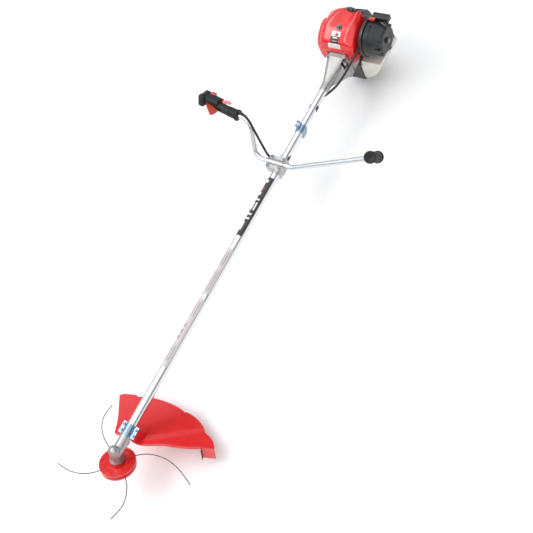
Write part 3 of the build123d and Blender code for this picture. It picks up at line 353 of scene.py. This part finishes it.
def roof(x, y):
    """Height of the hood's roof: two ridges that run up to two peaks, with a hollow between them."""
    top = along(CREST, x)
    left_ridge = along(((-300, -50), (-340, -47), (-388, -5), (-435, -8)), x)
    right_ridge = along(((-292, 26), (-320, 33), (-388, 53), (-435, 50)), x)
    rise = min(1.0, max(0.0, (-330 - x) / 58))
    if y < left_ridge:
        part = (left_ridge - y) / (left_ridge - HOOD_RIGHT + 0.5)
        height = top - along(((-284, 4), (-300, 10), (-344, 13), (-388, 32), (-435, 28)), x) * part ** 1.35
    elif y > right_ridge:
        part = (y - right_ridge) / (HOOD_LEFT - right_ridge)
        height = top - along(((-284, 2), (-300, 9), (-344, 16), (-388, 18), (-435, 16)), x) * part ** 1.1
    else:
        part = (y - left_ridge) / (right_ridge - left_ridge)
        height = top - (2.5 + 14 * rise) * math.sin(math.pi * part) ** 1.3
    if y > 53:
        height -= 9 * (1 - math.sqrt(max(0.0, 1 - ((y - 53) / 9) ** 2)))
    if y < -58:
        height -= 8 * (1 - math.sqrt(max(0.0, 1 - ((-58 - y) / 8) ** 2)))
    return height


ROOF_STEPS = [HOOD_LEFT - (HOOD_LEFT - HOOD_RIGHT) * i / 44 for i in range(45)]


def hood_ring(x, sink=0.0):
    """The hood's outline across the engine at x, up one side, over the roof and down the other."""
    low = 3.0 if x > -373 else 54.5
    ends = roof(x, HOOD_LEFT) - sink, roof(x, HOOD_RIGHT) - sink
    ring = [at(x, HOOD_LEFT, low + (ends[0] - low) * k / 5) for k in range(5)]
    ring += [at(x, y, max(low + 1, roof(x, y) - sink)) for y in ROOF_STEPS]
    ring += [at(x, HOOD_RIGHT, low + (ends[1] - low) * k / 5) for k in range(4, -1, -1)]
    return ring


def front_rim():
    """The edge of the hood round the clutch housing's flange, with as many points as a hood ring."""
    ring = [at(-283.6, 39.5, 3 + 34 * k / 5) for k in range(5)]
    for y in ROOF_STEPS:
        flat = max(-39.5, min(39.5, y * 0.62))
        ring.append(at(-283.6, flat, 37 + 3 * math.sqrt(max(0.0, 1 - (flat / 39.6) ** 2))))
    ring += [at(-283.6, -39.5, 3 + 34 * k / 5) for k in range(4, -1, -1)]
    return ring


rim, face = front_rim(), hood_ring(-283.6)
rings = [rim] + [[p.lerp(q, k) for p, q in zip(rim, face)] for k in (0.06, 0.5, 0.94)] + [face]
for x in (-284.2, -285, -286.5, -288, -289.5, -291, -293.5, -296, -300, -304, -309, -314, -318, -324, -331, -338, -344,
          -350, -355, -361, -366, -371.8, -374.5, -378, -382, -386, -388, -390, -391.5):
    rings.append(hood_ring(x))
hood = finish_mesh("engine_hood", loft_rings(rings, closed=False), "tool", "red", levels=1, solid=0.0024)
rings = []
for x in (-388.5, -391, -394, -398, -405, -412, -420, -426, -430, -434.5):
    rings.append(hood_ring(x, 3.0 if x > -393 else 0.8))
middle = at(-435.3, -2, 75)
for keep in (0.92, 0.5, 0.02):
    rings.append([middle + (p - middle) * keep for p in rings[-1]])
for ring in rings[-3:]:
    for p in ring:
        p.x = middle.x
hood_rear = finish_mesh("engine_hood_rear", loft_rings(rings, closed=False), "tool", "black", levels=1, solid=0.0020)
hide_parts("top_cover")
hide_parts("top_cover")

# black trim that shows between the hood's two peaks
bm = bmesh.new()
for y, z, wide in ((14, 116.5, 0.020), (32, 116.5, 0.012), (57, 108, 0.008)):
    add_box(bm, at(-397, y, z), (0.012, wide, 0.007), Matrix.Rotation(math.radians(42), 4, "Y"))
finish_mesh("engine_hood_vents", bm, "tool", "black", bevel=0.0015)

# ------------------------------------------------------------------ louvred muffler cover
# rows of x, reach out to the side, and height of the crown
SHIELD = ((-288.6, 6, 46), (-290, 11, 50), (-293, 15, 58), (-300, 19.5, 70), (-308, 21.5, 77), (-316, 23, 84),
          (-330, 25, 93), (-344, 27, 101), (-356, 28, 104), (-366, 27.5, 104), (-370.5, 24, 100), (-371.7, 17, 94))
rings = []
for x, reach, crown in SHIELD:
    top = min(crown + 12, roof(x, HOOD_RIGHT) + 1.5)
    ring = []
    for k in range(25):
        a = math.radians(-90 + 180 * k / 24)
        ring.append(at(x, -65.5 - reach * math.cos(a) ** 0.62,
                       (top - 11) / 2 + (top + 11) / 2 * math.copysign(abs(math.sin(a)) ** 0.92, a)))
    rings.append(ring)
centre_front = sum(rings[0], Vector()) / len(rings[0])
centre_back = sum(rings[-1], Vector()) / len(rings[-1])
rings.insert(0, [centre_front.lerp(p, 0.3) for p in rings[0]])
rings.append([centre_back.lerp(p, 0.3) for p in rings[-1]])
shield = finish_mesh("muffler_shield", loft_rings(rings, closed=False), "tool", "red", levels=1, solid=0.002)
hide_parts("muffler_cover")


# ------------------------------------------------------------------ patches that lie on a surface
bpy.context.view_layer.update()
depsgraph = bpy.context.evaluated_depsgraph_get()


def tree_of(item):
    return BVHTree.FromObject(item, depsgraph)


def patch(name, target, centre, toward, side, wide, high, lift, slot, mat, body="tool", thick=0.0003, steps=8):
    """A thin label or insert laid on a surface: rays from centre towards the surface find it."""
    toward = toward.normalized()
    side = (side - toward * side.dot(toward)).normalized()
    up = side.cross(toward)
    bm = bmesh.new()
    rows = []
    for j in range(steps + 1):
        row = []
        for i in range(steps + 1):
            start = centre + side * wide * (i / steps - 0.5) + up * high * (j / steps - 0.5) - toward * 0.06
            hit, normal, _, _ = target.ray_cast(start, toward)
            if hit is None:
                return None
            if normal.dot(toward) > 0:
                normal = -normal
            row.append(bm.verts.new(hit + normal * lift))
        rows.append(row)
    skin(bm, rows)
    return finish_mesh(name, bm, body, slot, mat, solid=thick)


hood_tree = tree_of(hood)
shield_tree = tree_of(shield)
label_white = material("label_white", (0.80, 0.79, 0.77), 0.35, coat=0.3, vary=0.04)
label_black = material("label_black", (0.02, 0.02, 0.022), 0.3, coat=0.3, vary=0.2)
label_grey = material("label_grey", (0.45, 0.43, 0.42), 0.4, vary=0.1)
label_red = material("label_red", (0.42, 0.03, 0.03), 0.35, coat=0.2)
left = Vector((0, 1, 0))
down = Vector((-0.62, 0, -0.78))
patch("hood_label_top", hood_tree, at(-315, -5, 92), down, left, 0.033, 0.016, LABEL_LIFT, "tank_white", label_white)
patch("hood_label_mark", hood_tree, at(-314, -2, 91), down, left, 0.011, 0.008, PRINT_LIFT, "red", label_red)
patch("hood_label_mid", hood_tree, at(-301, -7, 81), down, left, 0.029, 0.024, LABEL_LIFT, "black", label_black)
patch("hood_label_bar", hood_tree, at(-305, -7, 85), down, left, 0.018, 0.004, PRINT_LIFT, "tank_white", label_white)
patch("hood_label_bar_low", hood_tree, at(-297, -7, 78), down, left, 0.018, 0.0022, PRINT_LIFT,
      "tank_white", label_grey)
front = Vector((-0.93, 0, -0.37))
patch("hood_label_low", hood_tree, at(-288, -7, 64), front, left, 0.046, 0.016, LABEL_LIFT, "tank_white", label_white)
for k in range(3):
    patch(f"hood_label_lines_{k}", hood_tree, at(-288, -7, 60 + 4 * k), front, left, 0.038, 0.0012, PRINT_LIFT,
          "tank_white", label_grey, steps=6)

# the slots are painted shade: thin near-black sheets laid on the cover where the shadowed openings under the louvres
# are, with no opening cut
slot_painted_shade = material("louvre_painted_shade", (0.012, 0.004, 0.004), 0.8, vary=0.3)
side_in = Vector((-0.25, 1, -0.12))
for row in range(8):
    z = 2 + row * 9
    patch(f"shield_painted_shade_slot_{row}", shield_tree, at(-315, -96, z), side_in, Vector((1, 0, 0)), 0.020,
          0.0036, 0.0002, "black", slot_painted_shade, steps=4)
    patch(f"shield_louvre_{row}", shield_tree, at(-315, -96, z + 3.6), side_in, Vector((1, 0, 0)), 0.022, 0.0022,
          LOUVRE_LIFT, "red", MATS["red"], thick=LOUVRE_THICK, steps=4)
    patch(f"shield_rear_painted_shade_slot_{row}", shield_tree, at(-346, -98, z + 4), Vector((0, 1, -0.1)), Vector((1, 0, 0)), 0.024,
          0.0036, 0.0002, "black", slot_painted_shade, steps=4)
for row in range(8):
    patch(f"hood_slot_{row}", hood_tree, at(-318 - row * 7, -60, 100 + row * 3), Vector((0, 0.45, -0.9)),
          Vector((1, 0, 0)), 0.0028, 0.010, LOUVRE_LIFT, "red", MATS["red"], thick=LOUVRE_THICK, steps=4)

# ------------------------------------------------------------------ air cleaner
CLEANER = Vector((-360.0, 0, 46.0))
profile = ((87.5, 57.5), (89, 58.6), (93, 58.8), (95, 57.2), (104, 56.8), (106, 55.4), (118, 52.6), (121, 50.2),
           (134, 46.6), (142, 44.5), (147, 42.5), (149.4, 38.5), (149.6, 24), (148, 21), (148, 3))
count = 72
cleaner_rings = []
for y, radius in profile:
    ring = []
    for i in range(count):
        a = 2 * math.pi * i / count
        swell = 1.0 - 0.012 * (1 + math.cos(8 * a)) * (1 if 96 < y < 146 else 0)
        ring.append(at(CLEANER.x + radius * swell * math.sin(a), y, CLEANER.z + radius * swell * math.cos(a)))
    cleaner_rings.append(ring)
cleaner = finish_mesh("air_cleaner_shell", loft_rings(cleaner_rings, cap_end=True), "tool", "black", levels=1)
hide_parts("air_cleaner_cover")

bm = bmesh.new()
add_box(bm, at(-403, 117, 95), (0.021, 0.058, 0.017))
add_box(bm, at(-403, 117, 103), (0.016, 0.050, 0.0012))
finish_mesh("air_cleaner_snorkel", bm, "tool", "black", bevel=0.0022)
bm = bmesh.new()
for i in range(7):
    a = math.radians(2 + i * 7.5)
    turn = Matrix.Rotation(a, 4, "Y")
    place = at(CLEANER.x, 99.5, CLEANER.z) + turn @ Vector((0, 0, 0.0575))
    add_box(bm, place, (0.0022, 0.013, 0.0028), turn)
finish_mesh("air_cleaner_vent_ribs", bm, "tool", "black", bevel=0.0005)
bm = bmesh.new()
for angle in (60, 92, 124, 190, 236, 300):
    turn = Matrix.Rotation(math.radians(angle), 4, "Y")
    place = at(CLEANER.x, 132, CLEANER.z) + turn @ Vector((0, 0, 0.0465))
    add_box(bm, place, (0.013, 0.030, 0.008), turn)
finish_mesh("air_cleaner_lugs", bm, "tool", "black", bevel=0.002)


# ------------------------------------------------------------------ grips
def lathe(name, start, along, profile, body, slot, mat=None, count=48, levels=0, cap=True):
    """A turned piece: profile is (distance along, radius) in mm."""
    along = along.normalized()
    side = along.orthogonal().normalized()
    other = along.cross(side)
    rings = []
    for distance, radius in profile:
        centre = start + along * distance * 0.001
        rings.append([centre + (side * math.cos(2 * math.pi * i / count) + other * math.sin(2 * math.pi * i / count))
                      * radius * 0.001 for i in range(count)])
    return finish_mesh(name, loft_rings(rings, cap_start=cap, cap_end=cap), body, slot, mat, levels=levels)


LEAN = math.radians(30)
BAR_UP = Vector((-math.sin(LEAN), 0, math.cos(LEAN)))
BAR_FRONT = Vector((math.cos(LEAN), 0, math.sin(LEAN)))


def on_bar(left_mm, up_mm, front_mm=0.0):
    return at(150, left_mm, 28) + (BAR_UP * up_mm + BAR_FRONT * front_mm) * 0.001


left_dir = Vector((0.49, 0.26, 0.84)).normalized()
left_end = on_bar(368, 122) + left_dir * 0.150
grip_start = left_end - left_dir * 0.107
ridges = [(0.0, 9.2), (0.0, 17.2), (0.8, 17.5), (4.2, 17.5), (5.0, 15.2)]
for i in range(17):
    base = 6.5 + i * 5.6
    ridges += [(base, 14.4), (base + 0.6, 15.0), (base + 3.6, 15.0), (base + 4.2, 14.4)]
ridges += [(103.5, 14.6), (104.2, 16.6), (105.2, 17.0), (110.4, 17.0), (111.6, 16.2), (111.9, 13.0), (111.2, 12.4),
           (111.0, 4.0), (110.0, 2.6), (108.5, 1.5)]
left_rubber = lathe("left_grip_rubber", grip_start, left_dir, ridges, "tool", "grip")
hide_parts("left_grip")

right_top = on_bar(-91, 125)
right_end = on_bar(-254, 154)
grip_dir = (right_end - right_top).normalized()
sleeve_start = right_end - grip_dir * 0.122
sleeve = [(0.1, 9.0), (0.1, 17.6), (1.0, 18.4), (6.5, 18.4), (7.5, 17.0), (8.2, 15.4)]
for i in range(5):
    base = 9.5 + i * 6.0
    sleeve += [(base, 15.3), (base + 0.7, 16.0), (base + 4.2, 16.0), (base + 4.9, 15.3)]
lathe("throttle_sleeve_ribs", sleeve_start, grip_dir, sleeve, "tool", "grip", cap=False)

# the two ribbed pads at the end of the throttle's head
side_dir = BAR_FRONT - grip_dir * BAR_FRONT.dot(grip_dir)
side_dir.normalize()
up_dir = grip_dir.cross(side_dir)
frame_turn = Matrix((side_dir, up_dir, grip_dir)).transposed().to_4x4()
bm = bmesh.new()
for front_mm, out_mm, wide, deep in ((-13.5, 138, 23, 22), (11.5, 138, 23, 22)):
    spot = sleeve_start + (side_dir * front_mm + up_dir * 5 + grip_dir * out_mm) * 0.001
    add_box(bm, spot, (wide * 0.001, 0.040, deep * 0.001), frame_turn)
finish_mesh("throttle_head_pads", bm, "tool", "grip", bevel=0.007)

# ------------------------------------------------------------------ trimmer head face
# heights are counted down from the gear case's centre, along the head's own axis
DISC_FACE = -31.0
POCKET_RADIUS = 37        # of the arc that a pocket's outline follows
POCKET_SWING = 26         # half the arc's angle, before its round ends
POCKET_HALF = 8.3         # half the outline's width


def on_head(radius, angle, up):
    a = math.radians(angle)
    flat = HEAD_FORWARD * (radius * math.cos(a)) + Vector((0, radius * math.sin(a), 0))
    return GEAR + (flat + HEAD_UP * up) * 0.001


for quarter in range(4):    # the raised outline of each pocket, without a recess inside it
    turn = 90 * quarter + 10
    bm = bmesh.new()
    for s in (-1, 1):
        ring = []
        for k in range(37):
            swing = -36 + 2 * k
            edge = max(0.0, (abs(swing) - POCKET_SWING) / 10)
            half = POCKET_HALF * math.sqrt(max(0.01, 1 - edge ** 2))
            ring.append([bm.verts.new(on_head(POCKET_RADIUS + half * s + out, turn + swing, DISC_FACE + lift))
                         for out, lift in ((-0.9, 0), (-0.5, 0.9), (0.5, 0.9), (0.9, 0))])
        skin(bm, ring)
    finish_mesh(f"head_pocket_rim_{quarter}", bm, "cutter", "red")
bm = bmesh.new()
rows = [[bm.verts.new(on_head(r, 5 * k, u)) for r, u in ((53.9, -31.2), (53.6, -29.9), (51.6, -29.6), (50.6, -31.0))]
        for k in range(72)]
skin(bm, rows + rows[:1])
finish_mesh("head_rim", bm, "cutter", "red")

# ------------------------------------------------------------------ labels round the shaft
LABEL_RADIUS, PRINT_RADIUS = 14.12, 14.2
LABEL_FROM, LABEL_TO = 38, 196    # degrees round the tube


def wrap(name, x0, x1, low, high, radius, slot, mat, round_end=0.0, steps=40):
    """A label round part of the tube, from one angle to another above the operator's left."""
    bm = bmesh.new()
    rows = []
    for i in range(steps + 1):
        x = x0 + (x1 - x0) * i / steps
        end = min(x - x0, x1 - x)
        squeeze = 0.0
        if round_end and end < round_end:
            squeeze = 1 - math.sqrt(max(0.0, 1 - (1 - end / round_end) ** 2))
        row = []
        for j in range(25):
            span = (high - low) / 2 * (1 - squeeze * 0.5)
            a = math.radians((low + high) / 2 + span * (j / 12 - 1))
            row.append(bm.verts.new(at(x, radius * math.cos(a), radius * math.sin(a))))
        rows.append(row)
    skin(bm, rows)
    return finish_mesh(name, bm, "tool", slot, mat)


label_pale = material("label_pale", (0.56, 0.50, 0.50), 0.32, coat=0.25, vary=0.05)
label_dusk = material("label_dusk", (0.30, 0.27, 0.28), 0.35, coat=0.2, vary=0.1)
wrap("shaft_label_black", 196, 411, LABEL_FROM, LABEL_TO, LABEL_RADIUS, "black", label_black)
for i, (x0, x1, low, high, mat) in enumerate((
        (206, 216, 90, 150, label_white), (232, 246, 95, 140, label_red), (252, 262, 100, 165, label_white),
        (276, 282, 70, 150, label_white), (290, 318, 112, 150, label_white), (290, 318, 72, 92, label_white),
        (330, 336, 70, 150, label_white), (346, 352, 70, 150, label_white), (362, 392, 100, 130, label_white))):
    wrap(f"shaft_mark_{i}", x0, x1, low, high, PRINT_RADIUS, "tank_white", mat, steps=6)
wrap("shaft_label_pale_a", 456, 626, LABEL_FROM, LABEL_TO, LABEL_RADIUS, "tank_white", label_pale, round_end=12)
wrap("shaft_label_pale_b", 633, 875, LABEL_FROM, LABEL_TO, LABEL_RADIUS, "tank_white", label_pale, round_end=12)
for i, (x0, x1) in enumerate(((470, 520), (540, 610), (650, 700), (800, 850))):
    for j in range(3):
        wrap(f"shaft_text_{i}_{j}", x0, x1, 70 + j * 30, 82 + j * 30, PRINT_RADIUS, "black", label_dusk, steps=6)
for i in range(3):
    wrap(f"shaft_icon_{i}", 765 - i * 20, 778 - i * 20, 92, 138, PRINT_RADIUS, "black", label_dusk, steps=6)

# ------------------------------------------------------------------ floor and light
FLOOR_GAP = 0.03          # clear air under the lowest point
low = min(cad_bounds[0][2], cad_bounds[1][2])
bpy.ops.mesh.primitive_plane_add(size=16, location=(0.4, 0, low - FLOOR_GAP))
floor = bpy.context.object
floor.name = "floor"
floor.data.materials.append(material("floor_paper", (0.93, 0.93, 0.93), 0.8, vary=0.01, scale=20))


def area(name, place, target, size, power, color=(1, 1, 1)):
    data = bpy.data.lights.new(name, "AREA")
    data.shape = "RECTANGLE"
    data.size = size[0]
    data.size_y = size[1]
    data.energy = power
    data.color = color
    lamp = bpy.data.objects.new(name, data)
    bpy.context.scene.collection.objects.link(lamp)
    lamp.location = place
    lamp.rotation_euler = (Vector(target) - Vector(place)).to_track_quat("-Z", "Y").to_euler()


def sun(name, direction, energy, spread, color=(1, 1, 1)):
    data = bpy.data.lights.new(name, "SUN")
    data.energy = energy
    data.angle = math.radians(spread)
    data.color = color
    lamp = bpy.data.objects.new(name, data)
    bpy.context.scene.collection.objects.link(lamp)
    lamp.rotation_euler = Vector(direction).to_track_quat("-Z", "Y").to_euler()


sun("overhead", (-0.12, 0.22, -1.0), 2.0, 110)
area("key", (0.9, -1.3, 2.6), (0.3, 0, 0), (2.6, 0.7), 26)
area("fill", (2.2, 1.8, 1.8), (0.4, 0, 0), (1.0, 1.0), 8)
world = bpy.data.worlds.new("studio")
bpy.context.scene.world = world
world.use_nodes = True
sky = world.node_tree
background = sky.nodes["Background"]
background.inputs["Strength"].default_value = 1.0
place = sky.nodes.new("ShaderNodeTexCoord")
split = sky.nodes.new("ShaderNodeSeparateXYZ")
shade = sky.nodes.new("ShaderNodeValToRGB")
sky.links.new(place.outputs["Generated"], split.inputs[0])
sky.links.new(split.outputs["Z"], shade.inputs["Fac"])
stops = shade.color_ramp.elements
stops[0].position, stops[0].color = 0.0, (0.86, 0.86, 0.87, 1)
stops[1].position, stops[1].color = 1.0, (0.48, 0.49, 0.50, 1)
for spot, tone in ((0.17, (0.86, 0.86, 0.87)), (0.24, (0.10, 0.085, 0.08)), (0.40, (0.23, 0.255, 0.30)),
                   (0.62, (0.36, 0.375, 0.40)), (0.80, (0.5, 0.5, 0.5))):
    stop = stops.new(spot)
    stop.color = (*tone, 1)
sky.links.new(shade.outputs["Color"], background.inputs["Color"])
bpy.context.scene.view_settings.view_transform = "Standard"
